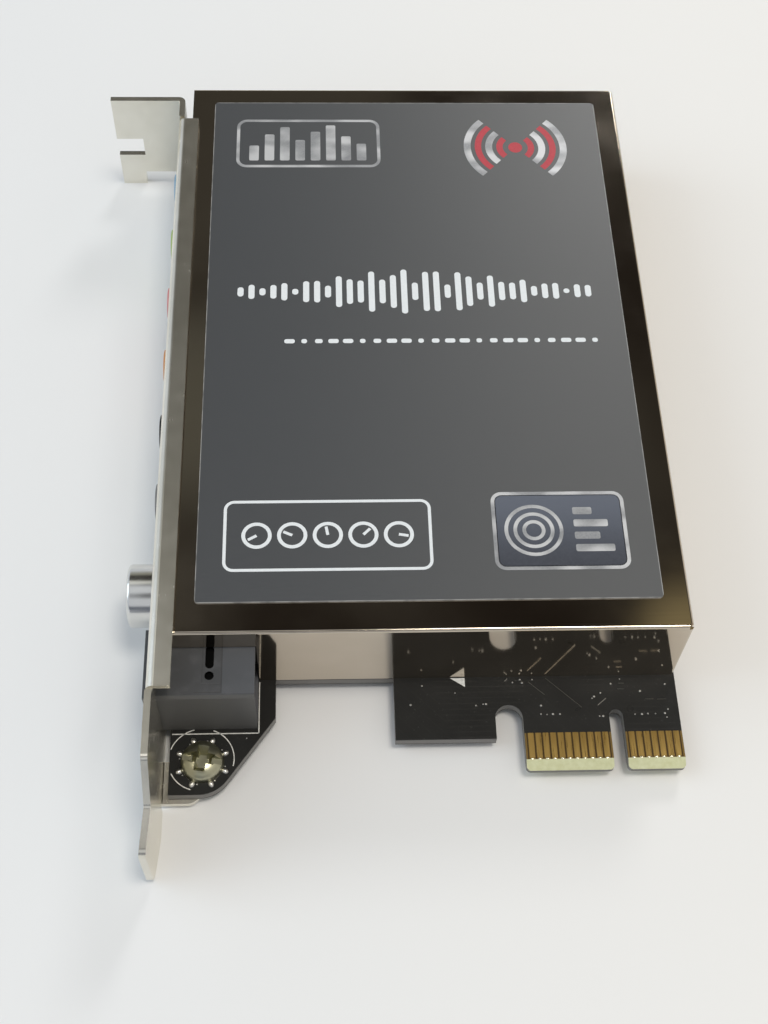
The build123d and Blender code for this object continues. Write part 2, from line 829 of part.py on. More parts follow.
pieces = {
    "board": make_board(),
    "front_contacts": make_contacts(board_top, board_top + contact_thickness),
    "rear_contacts": make_contacts(board_bottom - contact_thickness, board_bottom),
    "shield_cover": make_cover(),
    "cover_label": make_label(),
    "bracket": make_bracket(),
    "lower_screw": make_screw(screw_x, lower_screw_y),
    "upper_screw": make_screw(screw_x, upper_screw_y),
    "coax_shell": make_coax_shell(),
    "coax_insulator": make_coax_insulator(),
    "coax_centre": make_coax_centre(),
    "coax_housing": make_coax_housing(),
    "optical_housing": make_optical_housing(),
    "optical_shutter": make_shutter(),
    "shutter_spring": make_shutter_spring(),
    "optical_emitter": make_emitter(),
    "emitter_leads": make_emitter_leads(),
    "audio_processor": make_package(
        *processor_xy, processor_size, processor_size, board_top, board_top + processor_height),
    "converter_chip": make_package(
        *converter_xy, converter_size, converter_size, board_top, board_top + converter_height),
    "memory_chip": make_package(*memory_xy, memory_size, memory_size, board_top, board_top + memory_height),
    "output_amplifiers": Compound(children=[
        make_small_chip(amplifier_xy[0], amplifier_xy[1] + amplifier_pitch * number)
        for number in range(amplifier_count)
    ]),
    "crystal_can": make_crystal(),
    "voltage_regulator": make_regulator(),
    "capacitor_bases": make_can_bases(),
    "capacitor_cans": make_cans(),
    "solder_joints": make_solder(),
}
for name, place in zip(jack_names, jack_places):
    pieces[name + "_jack"] = make_jack_housing(place)
    pieces[name + "_springs"] = make_jack_springs(place)

os.makedirs("parts", exist_ok=True)
for name, piece in pieces.items():
    export_step(Pos(-middle_x, -middle_y, 0) * piece, f"parts/{name}.step")
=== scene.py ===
import math

import bmesh
import bpy
from mathutils import Matrix, Vector


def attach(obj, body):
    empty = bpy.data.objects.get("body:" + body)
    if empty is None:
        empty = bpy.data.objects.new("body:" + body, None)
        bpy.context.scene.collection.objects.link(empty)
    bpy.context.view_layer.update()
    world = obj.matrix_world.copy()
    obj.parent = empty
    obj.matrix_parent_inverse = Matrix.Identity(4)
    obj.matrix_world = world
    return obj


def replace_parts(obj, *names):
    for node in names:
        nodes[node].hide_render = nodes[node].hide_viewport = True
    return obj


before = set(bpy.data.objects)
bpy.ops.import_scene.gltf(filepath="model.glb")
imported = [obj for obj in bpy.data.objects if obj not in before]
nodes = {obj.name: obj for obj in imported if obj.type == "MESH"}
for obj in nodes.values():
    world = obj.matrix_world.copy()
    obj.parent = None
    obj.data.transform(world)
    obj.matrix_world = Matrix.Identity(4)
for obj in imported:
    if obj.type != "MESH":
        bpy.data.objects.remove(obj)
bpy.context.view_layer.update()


# Board: woven glass laminate with a black solder mask over its copper, cut to shape by a router.
# The mask stops short of the edge contacts, and the cut and bevelled edges are bare.
class Wire:
    """One output of a finish's nodes. Sums on it add Math nodes."""

    def __init__(self, tree, socket=None):
        self.tree = tree
        self.socket = socket

    def make(self, kind, settings, sockets, out=0):
        """A new node of a kind, with its settings, then its sockets' values or links. Gives one output."""
        node = self.tree.nodes.new(kind)
        for key, value in settings.items():
            setattr(node, key, value)
        for key, value in sockets.items():
            if isinstance(value, Wire):
                self.tree.links.new(value.socket, node.inputs[key])
            else:
                node.inputs[key].default_value = value
        return Wire(self.tree, node.outputs[out]) if len(node.outputs) else None

    def sum(self, operation, first, second):
        return self.make("ShaderNodeMath", {"operation": operation}, {0: first, 1: second})

    def __add__(self, other):
        return self.sum("ADD", self, other)

    def __radd__(self, other):
        return self.sum("ADD", other, self)

    def __sub__(self, other):
        return self.sum("SUBTRACT", self, other)

    def __rsub__(self, other):
        return self.sum("SUBTRACT", other, self)

    def __mul__(self, other):
        return self.sum("MULTIPLY", self, other)

    def __rmul__(self, other):
        return self.sum("MULTIPLY", other, self)

    def __abs__(self):
        return self.sum("ABSOLUTE", self, 0.0)


def new_finish(name):
    """An empty material, and the place on the piece that its patterns follow."""
    material = bpy.data.materials.new(name)
    material.use_nodes = True
    material.node_tree.nodes.clear()
    return material, Wire(material.node_tree).make("ShaderNodeTexCoord", {}, {}, "Object")


def close_finish(place, sockets):
    """The surface of a finish, from the values and links of its sockets."""
    shader = place.make("ShaderNodeBsdfPrincipled", {}, sockets)
    place.make("ShaderNodeOutputMaterial", {}, {"Surface": shader})


def grain(place, size, detail=2.0, stretch=(1, 1, 1), shift=0.0):
    """Cloudy noise with patches of about the given size in metres, longer where stretch is over 1."""
    spread = place.make("ShaderNodeMapping", {}, {
        "Vector": place, "Location": (shift, shift, shift),
        "Scale": tuple(1 / (size * longer) for longer in stretch)})
    return place.make("ShaderNodeTexNoise", {}, {"Vector": spread, "Scale": 1.0, "Detail": detail}, "Fac")


def band(value, low, high):
    """0 below low, 1 above high, and a smooth rise between."""
    return value.make("ShaderNodeMapRange", {"interpolation_type": "SMOOTHSTEP"}, {
        "Value": value, "From Min": low, "From Max": high})


def within(value, low, high, soft):
    """1 between low and high, falling to 0 over a soft edge on both sides."""
    return band(value, low - soft, low) * (1 - band(value, high, high + soft))


def tint(share, first, second):
    """The first colour where share is 0, the second where it is 1."""
    return share.make("ShaderNodeMix", {"data_type": "RGBA"}, {0: share, 6: first, 7: second}, 2)


def relief(height, strength, distance):
    """Fine unevenness for a finish's Normal."""
    return height.make("ShaderNodeBump", {}, {"Height": height, "Strength": strength, "Distance": distance})


def parts_of(place):
    """X, Y and Z of a vector as three values."""
    return [place.make("ShaderNodeSeparateXYZ", {}, {"Vector": place}, axis) for axis in "XYZ"]


def facing(place):
    """How far the surface faces along X, Y and Z."""
    return parts_of(place.make("ShaderNodeTexCoord", {}, {}, "Normal"))


def dress(finish, *names):
    """One finish on every named piece of the frame."""
    for name in names:
        for slot in nodes[name].material_slots:
            slot.material = finish


middle_x = 29.475
middle_y = 35.575


def across(x):
    """Millimetres across the drawing to metres across the part."""
    return (x - middle_x) / 1000


def along(y):
    """Millimetres along the drawing to metres along the part."""
    return (y - middle_y) / 1000


def etched_lines(place, settings, line, length, pitch):
    """Lines of copper under the mask, as the joints of a brick pattern."""
    return place.make("ShaderNodeTexBrick", settings, {
        "Vector": place, "Scale": 1.0, "Mortar Size": line, "Mortar Smooth": 0.4, "Brick Width": length,
        "Row Height": pitch, "Color1": (0, 0, 0, 1), "Color2": (0, 0, 0, 1), "Mortar": (1, 1, 1, 1)})


tongue_left = 48.5
mask_end = -8.3
contact_groups = ((49.575, 11), (63.125, 7))
key_x = 61.2
key_shift = 0.55
core_low = 0.00166
core_high = 0.00278
mask_finish, place = new_finish("black_solder_mask")
x, y, z = parts_of(place)
upright = abs(facing(place)[2])
cut_edge = 1 - band(upright, 0.2, 0.4)
bevel_edge = (1 - band(upright, 0.965, 0.985)) - cut_edge
past_mask = 1 - band(y, along(mask_end), along(mask_end + 0.1))
bare = band(x, across(tongue_left), across(tongue_left + 0.1)) * past_mask
weave = place.make("ShaderNodeTexWave", {"bands_direction": "Z"}, {
    "Vector": place, "Scale": 1600.0, "Distortion": 1.2, "Detail": 2.0})
turned = place.make("ShaderNodeMapping", {}, {"Vector": place, "Rotation": (0, 0, math.radians(45))})
runs = etched_lines(place, {"offset": 0.37, "squash": 1.6, "squash_frequency": 3}, 0.00009, 0.0105, 0.00082)
slants = etched_lines(turned, {"offset": 0.61, "squash": 2.1, "squash_frequency": 2}, 0.00008, 0.016, 0.0013)
patches = band(grain(place, 0.011, 1.0), 0.46, 0.52)
copper = tint(patches, runs, slants)
copper = copper.make("ShaderNodeRGBToBW", {}, {"Color": copper})
copper = copper * band(grain(place, 0.017, 1.0, shift=0.3), 0.44, 0.5)
dust = band(grain(place, 0.00035, 1.0), 0.7, 0.78)
flat = tint(copper, (0.0138, 0.0138, 0.0131, 1), (0.0164, 0.0164, 0.0155, 1))
flat = tint(dust * 0.35, flat, (0.07, 0.07, 0.066, 1))
past_key = band(x, across(key_x), across(key_x + 0.2))
from_first = (x - across(contact_groups[0][0])) * 1000 - past_key * key_shift
from_contact = place.sum("FRACT", from_first, 0.0)
groove = 1 - band(abs(from_contact - 0.5), 0.05, 0.1)
amber = tint(grain(place, 0.0007), (0.15, 0.092, 0.022, 1), (0.22, 0.14, 0.04, 1))
flat = tint(bare, flat, tint(groove, amber, (0.035, 0.017, 0.004, 1)))
laminate = tint(weave, (0.13, 0.125, 0.117, 1), (0.25, 0.243, 0.23, 1))
# The cut edge is dark in a band at its top and at its bottom for the mask and copper layers; the lower band
# also stands in for painted shadow under the board's edge.
laminate = tint(within(z, core_low, core_high, 0.00008), (0.035, 0.033, 0.03, 1), laminate)
pale = tint(grain(place, 0.0006), (0.5, 0.5, 0.26, 1), (0.67, 0.68, 0.46, 1))
colour = tint(bevel_edge, tint(cut_edge, flat, laminate), pale)
edges = cut_edge + bevel_edge
close_finish(place, {
    "Base Color": colour, "Roughness": 0.24 + 0.12 * grain(place, 0.004) + 0.25 * edges,
    "Normal": relief(copper * (1 - edges) + 0.1 * grain(place, 0.0003), 0.08, 0.00003), "IOR": 1.42})
dress(mask_finish, "board")


# Printed marks on the board: white ink pressed through a screen, a few hundredths of a millimetre thick.
# A broken ring goes round the screw, two lines follow the optical socket, and a triangle points along.
board_face = 0.003
ink_rise = 0.00002
sharp_angle = math.radians(34)


def new_piece(name, draw, finish, body="card"):
    """A piece from a drawn mesh, faced outwards, smooth up to its sharp edges, riding on a body."""
    bm = bmesh.new()
    draw(bm)
    bmesh.ops.recalc_face_normals(bm, faces=bm.faces)
    mesh = bpy.data.meshes.new(name)
    bm.to_mesh(mesh)
    bm.free()
    mesh.shade_smooth()
    mesh.set_sharp_from_angle(angle=sharp_angle)
    mesh.materials.append(finish)
    piece = bpy.data.objects.new(name, mesh)
    bpy.context.scene.collection.objects.link(piece)
    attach(piece, body)
    return piece


def add_bar(bm, x0, y0, x1, y1, width, low, rise):
    """A flat strip between two points of the board or the film, in millimetres from the drawing's zero."""
    length = math.hypot(x1 - x0, y1 - y0) / 1000
    turn = Matrix.Rotation(math.atan2(y1 - y0, x1 - x0), 4, "Z")
    middle = Matrix.Translation((across((x0 + x1) / 2), along((y0 + y1) / 2), low + rise / 2))
    size = Matrix.Diagonal((length, width / 1000, rise, 1))
    return bmesh.ops.create_cube(bm, size=1, matrix=middle @ turn @ size)["verts"]


def add_arc(bm, x, y, radius, width, start, end, low, rise, steps):
    """A flat arc about a point, from one angle to another in degrees."""
    bar = bmesh.ops.create_grid(bm, x_segments=1, y_segments=1, size=0.5)
    middle = Vector((across(x), along(y), low))
    size = Matrix.Diagonal((width / 1000, 0, rise, 1))
    stand = Matrix.Rotation(math.radians(90), 4, "X")
    begin = Matrix.Rotation(math.radians(start), 4, "Z")
    shift = Matrix.Translation((radius / 1000, 0, rise / 2))
    first = Matrix.Translation(middle) @ begin @ shift @ size @ stand
    bmesh.ops.transform(bm, verts=bar["verts"], matrix=first)
    face = bar["verts"][0].link_faces[0]
    bmesh.ops.spin(
        bm, geom=[face, *face.verts, *face.edges], cent=middle, axis=(0, 0, 1),
        angle=math.radians(end - start), steps=steps, use_duplicate=False)


def raise_faces(bm, faces, shift):
    """Gives flat faces a thickness, drawn out by a shift."""
    drawn = bmesh.ops.extrude_face_region(bm, geom=faces)["geom"]
    moved = [part for part in drawn if isinstance(part, bmesh.types.BMVert)]
    bmesh.ops.translate(bm, verts=moved, vec=shift)


ink_finish, place = new_finish("white_board_ink")
worn = band(grain(place, 0.0004, 3.0), 0.3, 0.6)
close_finish(place, {
    "Base Color": tint(worn, (0.6, 0.6, 0.57, 1), (0.78, 0.78, 0.75, 1)), "Roughness": 0.55 + 0.1 * worn,
    "Normal": relief(grain(place, 0.0002), 0.3, 0.00001)})
ring_x = 5.92
ring_y = -11.25
ring_radius = 4.3
ring_line = 0.13
ring_arcs = ((-13, 70), (104, 160), (206, 253))
ring_steps = 28
socket_lines = ((13.4, -0.3, 13.4, -7.73), (1.95, -7.65, 13.47, -7.65))
socket_line = 0.14
triangle = ((39.2, -0.1), (41.2, -1.42), (41.2, -0.1))


def draw_board_marks(bm):
    for start, end in ring_arcs:
        add_arc(bm, ring_x, ring_y, ring_radius, ring_line, start, end, board_face, ink_rise, ring_steps)
    for ends in socket_lines:
        add_bar(bm, *ends, socket_line, board_face, ink_rise)
    sheet = bm.faces.new([bm.verts.new((across(x), along(y), board_face)) for x, y in triangle])
    raise_faces(bm, [sheet], (0, 0, ink_rise))


new_piece("board_marks", draw_board_marks, ink_finish)


# Plated holes, tracks and solder bumps: drilled and etched in the copper, then tinned where it is bare.
# Eight bumps under the screw head ground the bracket, and small holes in rows join the layers.
# The tracks are low ridges, sloped to one side, under the mask.
screw_x = 6.07
screw_y = -11.65
bump_ring = 3.2
bump_count = 8
bump_radius = 0.00046
bump_squash = (1.15, 0.85, 0.8)
hole_ring = 3.05
hole_count = 24
hole_turn = 4
hole_skip = 3
ring_hole = 0.11
hole_sizes = (0.12, 0.1, 0.15)
hole_rise = 0.00003
hole_lift = 0.00001
hole_taper = 1.4
track_width = 0.11
track_rise = 0.00009
track_slope = 0.000087
hole_spots = [
    (35.36, -1.18), (39.79, -2.29), (33.71, -3.94), (42.53, -4.16), (43.5, -3.98), (43.9, -3.96),
    (48.74, -0.45), (50.41, -0.47), (51.32, -4.3), (51.21, -5.54), (52.02, -5.62), (52.83, -5.56),
    (53.78, -5.58), (58.35, -3.35), (58.65, -3.1), (59.57, -2.59), (59.1, -5.96), (59.6, -5.96),
    (61.11, -1.25), (62.39, -0.57), (65.01, -2.37), (68.52, -1.41), (63.93, -5.75), (64.88, -5.76),
    (65.7, -5.7), (66.72, -5.72), (68.01, -5.67), (68.5, -5.09), (68.21, -6.25), (49.0, -0.9),
    (47.7, -0.85), (11.8, -8.35)]
track_ends = [
    (49.83, -0.82, 51.92, -2.75), (52.22, -0.3, 56.8, -4.65), (62.1, -1.2, 62.9, -1.22),
    (61.9, -2.05, 62.86, -2.06), (65.55, -3.58, 66.7, -3.6), (67.2, -3.62, 68.4, -3.63),
    (59.0, -4.4, 60.2, -3.4), (46.6, -0.7, 47.0, -0.3)]


def plated(name, dark, light, pattern, roughness, bump=None):
    """A metal finish. One pattern changes its colour, its roughness and, where it has one, its bump."""
    finish, place = new_finish(name)
    flow = grain(place, *pattern)
    sockets = {
        "Base Color": tint(flow, (*dark, 1), (*light, 1)), "Metallic": 1.0,
        "Roughness": roughness[0] + roughness[1] * flow}
    if bump:
        sockets["Normal"] = relief(flow, *bump)
    close_finish(place, sockets)
    return finish


def round_screw(reach, angle):
    """A point of the board at some reach from the screw."""
    return screw_x + reach * math.cos(angle), screw_y + reach * math.sin(angle)


def add_dot(bm, x, y, radius):
    """A plated ring's small raised top on the board."""
    bmesh.ops.create_cone(
        bm, cap_ends=True, segments=12, radius1=radius / 1000, radius2=radius / (1000 * hole_taper),
        depth=hole_rise, matrix=Matrix.Translation((across(x), along(y), board_face + hole_lift)))


def add_dome(bm, spot, radius, squash, rounds, rings, turn=0.0):
    """A small ball, squashed, turned about its upright and put in its place."""
    ball = bmesh.ops.create_uvsphere(bm, u_segments=rounds, v_segments=rings, radius=radius)
    shape = Matrix.Rotation(turn, 4, "Z") @ Matrix.Diagonal((*squash, 1))
    bmesh.ops.transform(bm, verts=ball["verts"], matrix=Matrix.Translation(spot) @ shape)


def draw_holes(bm):
    for number, (x, y) in enumerate(hole_spots):
        add_dot(bm, x, y, hole_sizes[number % len(hole_sizes)])
    for number in range(hole_count):
        angle = math.radians(360 / hole_count * number + hole_turn)
        if number % hole_skip:
            add_dot(bm, *round_screw(hole_ring, angle), ring_hole)


def draw_tracks(bm):
    for x0, y0, x1, y1 in track_ends:
        ridge = add_bar(bm, x0, y0, x1, y1, track_width, board_face, track_rise)
        start = Vector((across(x0), along(y0), 0))
        sideways = Vector((y0 - y1, x1 - x0, 0))
        upper = [corner for corner in ridge if corner.co.z > board_face]
        far = [corner for corner in upper if (corner.co - start).dot(sideways) > 0]
        bmesh.ops.translate(bm, verts=far, vec=(0, 0, -track_slope))


def draw_bumps(bm):
    for number in range(bump_count):
        angle = math.radians(360 / bump_count * (number + 0.5))
        x, y = round_screw(bump_ring, angle)
        spot = (across(x), along(y), board_face)
        add_dome(bm, spot, bump_radius, bump_squash, rounds=16, rings=12, turn=angle)


tin_finish = plated(
    "tinned_metal", dark=(0.56, 0.55, 0.52), light=(0.8, 0.79, 0.76), pattern=(0.0006, 3.0),
    roughness=(0.2, 0.2), bump=(0.25, 0.00006))
track_finish = plated(
    "masked_copper_track", dark=(0.5, 0.5, 0.47), light=(0.9, 0.9, 0.86), pattern=(0.0005, 3.0),
    roughness=(0.12, 0.15), bump=(0.2, 0.00001))
new_piece("board_holes", draw_holes, tin_finish)
new_piece("board_tracks", draw_tracks, track_finish)
new_piece("ground_bumps", draw_bumps, tin_finish)


# Solder under the board: one smooth cone of tin wets each tail and its ring of copper.
# The tails are the socket springs, the two coaxial strips and the three leads of the emitter.
board_back = 0.00143


def add_turned(bm, points, middle, axis, rounds, closed=False):
    """A round shape from half of its section, turned a full circle about a line through middle."""
    spots = [bm.verts.new(point) for point in points]
    pairs = list(zip(spots, spots[1:])) + ([(spots[-1], spots[0])] if closed else [])
    edges = [bm.edges.new(pair) for pair in pairs]
    bmesh.ops.spin(
        bm, geom=spots + edges, cent=middle, axis=axis, angle=math.tau, steps=rounds, use_merge=True)
    bmesh.ops.remove_doubles(bm, verts=bm.verts, dist=0.0000001)


jack_start = 23.7
jack_pitch = 11.7
jack_count = 6
jack_y = [jack_start + jack_pitch * number for number in range(jack_count)]
spring_x = (3.11, 6.71, 10.31)
coax_y = 9.65
shell_tail = 2.71
tube_tail = 10.61
optical_y = -2.15
lead_x = 11.15
lead_pitch = 2.54
spring_joint = (0.85, 1.3)
strip_joint = (0.9, 1.3)
lead_joint = (0.9, 0.9)
tails = [(x, y, *spring_joint) for y in jack_y for x in spring_x]
tails += [(x, coax_y, *strip_joint) for x in (shell_tail, tube_tail)]
tails += [(lead_x, optical_y + lead_pitch * step, *lead_joint) for step in (-1, 0, 1)]
cone_section = (
    (0, 0), (1, 0), (0.97, -0.08), (0.74, -0.3), (0.6, -0.56), (0.5, -0.75), (0.3, -0.8), (0, -0.8))
cone_rounds = 20


def draw_solder(bm):
    for x, y, half_x, half_y in tails:
        joint = bmesh.new()
        section = [(reach / 1000, 0, drop / 1000) for reach, drop in cone_section]
        add_turned(joint, section, (0, 0, 0), (0, 0, 1), cone_rounds)
        oval = Matrix.Diagonal((half_x, half_y, 1, 1))
        spot = Matrix.Translation((across(x), along(y), board_back))
        bmesh.ops.transform(joint, verts=joint.verts, matrix=spot @ oval)
        cone = bpy.data.meshes.new("cone")
        joint.to_mesh(cone)
        joint.free()
        bm.from_mesh(cone)
        bpy.data.meshes.remove(cone)


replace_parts(new_piece("solder_cones", draw_solder, tin_finish), "solder_joints")
dress(tin_finish, "emitter_leads", *[name for name in nodes if name.endswith("_springs")])


# Edge contacts: hard gold over nickel on the copper, rubbed by the slot's springs along their length.
# Each one ends in a bright stub where the plating bar was cut away by the bevel.
contact_end = -11.7
gold_finish, place = new_finish("edge_gold")
rubbed = grain(place, 0.00012, 2.0, stretch=(1, 30, 1))
along_contact = band(parts_of(place)[1], along(contact_end), along(mask_end))
gold = tint(rubbed, (0.5, 0.33, 0.1, 1), (0.7, 0.488, 0.172, 1))
close_finish(place, {
    "Base Color": tint(along_contact * 0.5, gold, (0.375, 0.235, 0.07, 1)), "Metallic": 1.0,
    "Roughness": 0.22 + 0.16 * rubbed, "Normal": relief(rubbed, 0.2, 0.00001)})
dress(gold_finish, "front_contacts", "rear_contacts")
stub_y = -11.86
stub_radius = 0.0002
stub_squash = (1.1, 0.8, 0.35)


def draw_stubs(bm):
    for start, count in contact_groups:
        for number in range(count):
            spot = (across(start + number), along(stub_y), board_face)
            add_dome(bm, spot, stub_radius, stub_squash, rounds=10, rings=8)


stub_finish = plated(
    "cut_gold", dark=(0.82, 0.76, 0.5), light=(0.95, 0.92, 0.76), pattern=(0.0003, 2.0),
    roughness=(0.18, 0.12))
new_piece("contact_stubs", draw_stubs, stub_finish)


# Chips, capacitors and the crystal under the cover, soldered to the board.
# They are moulded epoxy, drawn aluminium on plastic bases, and plated steel.
epoxy_finish, place = new_finish("moulded_epoxy")
matt = grain(place, 0.00012, 2.0)
close_finish(place, {
    "Base Color": tint(matt, (0.017, 0.017, 0.018, 1), (0.034, 0.034, 0.035, 1)),
    "Roughness": 0.6 + 0.15 * matt, "Normal": relief(matt, 0.3, 0.00002)})
dress(
    epoxy_finish, "audio_processor", "converter_chip", "memory_chip", "output_amplifiers",
    "voltage_regulator")
can_finish = plated(
    "drawn_aluminium", dark=(0.66, 0.66, 0.67), light=(0.8, 0.8, 0.81),
    pattern=(0.0002, 2.0, (1, 1, 25)), roughness=(0.26, 0.12))
dress(can_finish, "capacitor_cans")
nickel_finish = plated(
    "polished_nickel", dark=(0.66, 0.66, 0.64), light=(0.78, 0.78, 0.76), pattern=(0.0025, 3.0),
    roughness=(0.12, 0.1))
dress(nickel_finish, "crystal_can", "coax_centre")


# Plug sockets: each moulded in one colour, with a fine spark-eroded texture on the plastic.
# Their noses come through the bracket, and their tails are soldered to the board.
def moulded(name, dark, light, roughness, texture):
    """A plastic finish with slow clouds in its colour and a fine texture of the given size."""
    finish, place = new_finish(name)
    fine = grain(place, texture, 2.0)
    cloud = grain(place, 0.004, 2.0)
    close_finish(place, {
        "Base Color": tint(cloud, (*dark, 1), (*light, 1)), "Roughness": roughness + 0.12 * fine,
        "Normal": relief(fine, 0.25, texture * 0.12)})
    return finish


jack_tones = {
    "side_out_jack": ((0.2, 0.2, 0.205), (0.26, 0.26, 0.265)),
    "rear_out_jack": ((0.016, 0.016, 0.017), (0.026, 0.026, 0.027)),
    "centre_out_jack": ((0.66, 0.3, 0.12), (0.76, 0.38, 0.17)),
    "microphone_jack": ((0.68, 0.26, 0.26), (0.78, 0.33, 0.33)),
    "front_out_jack": ((0.42, 0.56, 0.2), (0.5, 0.64, 0.27)),
    "line_in_jack": ((0.26, 0.44, 0.62), (0.33, 0.52, 0.7)),
}
jack_roughness = 0.3
jack_texture = 0.00018
for name, (dark, light) in jack_tones.items():
    dress(moulded(name + "_plastic", dark, light, jack_roughness, jack_texture), name)


# Coaxial socket: a turned and polished shell with a rounded rim, round a sleeve and a centre tube.
# It sits in a black moulded block behind the bracket, and one strip earths it to the board.
socket_z = 0.0095
shell_radius = 4.3
shell_bore = 3.5
shell_front = -3.9
shell_end = 4.51
shell_mouth = ((shell_front, 3.62), (-3.85, 3.53), (-3.7, shell_bore))
rim_round = 0.55
rim_steps = 8
shell_rounds = 96
strip_size = (0.0004, 0.0012, 0.00516)
strip_middle = 0.00301


def draw_shell(bm):
    section = [(shell_end, shell_bore), (shell_end, shell_radius)]
    for step in range(rim_steps + 1):
        turn = math.radians(90 + 90 / rim_steps * step)
        x = shell_front + rim_round * (1 + math.cos(turn))
        section.append((x, shell_radius - rim_round * (1 - math.sin(turn))))
    section += shell_mouth
    points = [(across(x), along(coax_y), socket_z + radius / 1000) for x, radius in section]
    add_turned(bm, points, (0, along(coax_y), socket_z), (1, 0, 0), shell_rounds, closed=True)
    spot = Matrix.Translation((across(shell_tail), along(coax_y), strip_middle))
    bmesh.ops.create_cube(bm, size=1, matrix=spot @ Matrix.Diagonal((*strip_size, 1)))


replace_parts(new_piece("coax_rim", draw_shell, nickel_finish), "coax_shell")
dark_plastic = moulded("black_plastic", (0.018, 0.018, 0.019), (0.03, 0.03, 0.031), 0.42, 0.0002)
dress(dark_plastic, "coax_insulator", "coax_housing", "capacitor_bases")


# Optical socket: a dark grey moulded block with a satin skin, a slot and a hole in its top, and mould lines.
# A frame round its port stands out of the bracket, and a sprung flap closes the port.
# A tinted emitter with a small lens stands at the back of the chamber.
block_top = 0.0133
slot_floor = 0.0124
slot_x = (6.8, 8.1)
slot_y = (-4.7, 0.4)
slot_soft = 0.00002
step_x = 9.0
step_left = 5.6
step_y = (-6.3, 1.9)
right_y = (-6.4, 1.0)
panel_x = 6.5
panel_near = -5.2
panel_y = (-4.9, 1.2)
deep_line = 0.08
deep_soft = 0.00007
faint_line = 0.06
faint_soft = 0.00006


def mould_line(line, low, high, run, start, end, soft):
    """A thin line, low to high on one axis, that runs from start to end on the other."""
    return within(line, low, high, soft) * within(run, start, end, 0.0001)


block_finish, place = new_finish("grey_moulded_block")
x, y, z = parts_of(place)
painted_light_facing_y, side_z = facing(place)[1:]
fine = grain(place, 0.00016, 2.0)
scuff = band(grain(place, 0.0026, 4.0), 0.48, 0.75)
top = band(side_z, 0.85, 0.95)
right_part = band(x, across(step_x), across(step_x + 0.15))
right_part = right_part * within(y, along(right_y[0]), along(right_y[1]), 0.0001)
deep = mould_line(
    x, across(step_x), across(step_x + deep_line), y, along(step_y[0]), along(step_y[1]), deep_soft)
deep = deep + mould_line(
    y, along(step_y[0]), along(step_y[0] + deep_line), x, across(step_left), across(step_x), deep_soft)
faint = mould_line(
    x, across(panel_x), across(panel_x + faint_line), y, along(panel_y[0]), along(panel_y[1]), faint_soft)
faint = faint + mould_line(
    y, along(panel_near), along(panel_near + faint_line), x, across(panel_x), across(step_x), faint_soft)
lines = band((deep + faint * 0.6) * top, 0.1, 0.9)
below_top = 1 - band(z, block_top - 0.00006, block_top - 0.00002)
# Painted shade: the slot's floor, under the top, is painted near-black and metallic, standing in for the
# shade inside a deep slot.
painted_slot_shade = within(x, across(slot_x[0]), across(slot_x[1]), slot_soft)
painted_slot_shade = painted_slot_shade * within(y, along(slot_y[0]), along(slot_y[1]), slot_soft)
painted_slot_shade = painted_slot_shade * below_top * band(z, slot_floor, slot_floor + 0.0001)
skin = tint(scuff, (0.054, 0.057, 0.063, 1), (0.076, 0.079, 0.087, 1))
skin = tint(top * right_part * 0.55, skin, (0.088, 0.095, 0.109, 1))
# Painted light: faces that look along the card, the front face above all, are painted lighter, standing in
# for the light that falls on them.
skin = tint(band(abs(painted_light_facing_y), 0.3, 0.6), skin, (0.092, 0.091, 0.088, 1))
skin = tint(lines * 0.5, skin, (0.028, 0.028, 0.03, 1))
skin = tint(painted_slot_shade, skin, (0.006, 0.006, 0.006, 1))
close_finish(place, {
    "Base Color": skin, "Roughness": 0.38 + 0.16 * fine, "Metallic": painted_slot_shade,
    "Normal": relief(fine + 0.4 * scuff - 3 * lines, 0.3, 0.000025), "IOR": 1.5})
dress(block_finish, "optical_housing")
dress(dark_plastic, "optical_shutter")
lens_finish = moulded("tinted_lens", (0.09, 0.012, 0.012), (0.14, 0.02, 0.02), 0.12, 0.0004)
dress(lens_finish, "optical_emitter")
lens_x = 9.4
lens_z = 0.0079
lens_radius = 0.0016
lens_squash = (0.6, 1, 1)


def draw_lens(bm):
    spot = (across(lens_x), along(optical_y), lens_z)
    add_dome(bm, spot, lens_radius, lens_squash, rounds=32, rings=16)


new_piece("emitter_lens", draw_lens, lens_finish)
port_frames = ((-6.95, 3.1, 2.65, 13.25), (-6.05, 4.3, 1.75, 11.5))
rim_back = across(-0.5)
rim_front = across(-0.95)


def draw_port_rim(bm):
    rings = []
    for near, low, far, high in port_frames:
        corners = ((near, low), (far, low), (far, high), (near, high))
        rings.append([bm.verts.new((rim_back, along(y), z / 1000)) for y, z in corners])
    outer, inner = rings
    for number in range(4):
        after = (number + 1) % 4
        bm.faces.new((outer[number], outer[after], inner[after], inner[number]))
    raise_faces(bm, bm.faces[:], (rim_front - rim_back, 0, 0))


new_piece("port_rim", draw_port_rim, block_finish)
wire_finish = plated(
    "spring_wire", dark=(0.5, 0.5, 0.5), light=(0.66, 0.66, 0.66), pattern=(0.0001, 2.0),
    roughness=(0.25, 0.15))
dress(wire_finish, "shutter_spring")


# Slot bracket: sheet steel, blanked and folded, with a dull zinc plate that keeps the roll's fine lines.
# Two lugs go under the board, and the screws through it hold them.
bracket_finish, place = new_finish("zinc_plate")
rolled = grain(place, 0.00016, 3.0, stretch=(1, 40, 1))
mottle = grain(place, 0.002, 2.0)
stain = band(grain(place, 0.012, 3.0, shift=0.7), 0.35, 0.7)
zinc = tint(mottle, (0.77, 0.745, 0.665, 1), (0.87, 0.845, 0.765, 1))
zinc = tint(stain * 0.5, zinc, (0.65, 0.62, 0.535, 1))
close_finish(place, {
    "Base Color": zinc, "Metallic": 1.0, "Roughness": 0.22 + 0.03 * rolled + 0.05 * mottle})
dress(bracket_finish, "bracket")


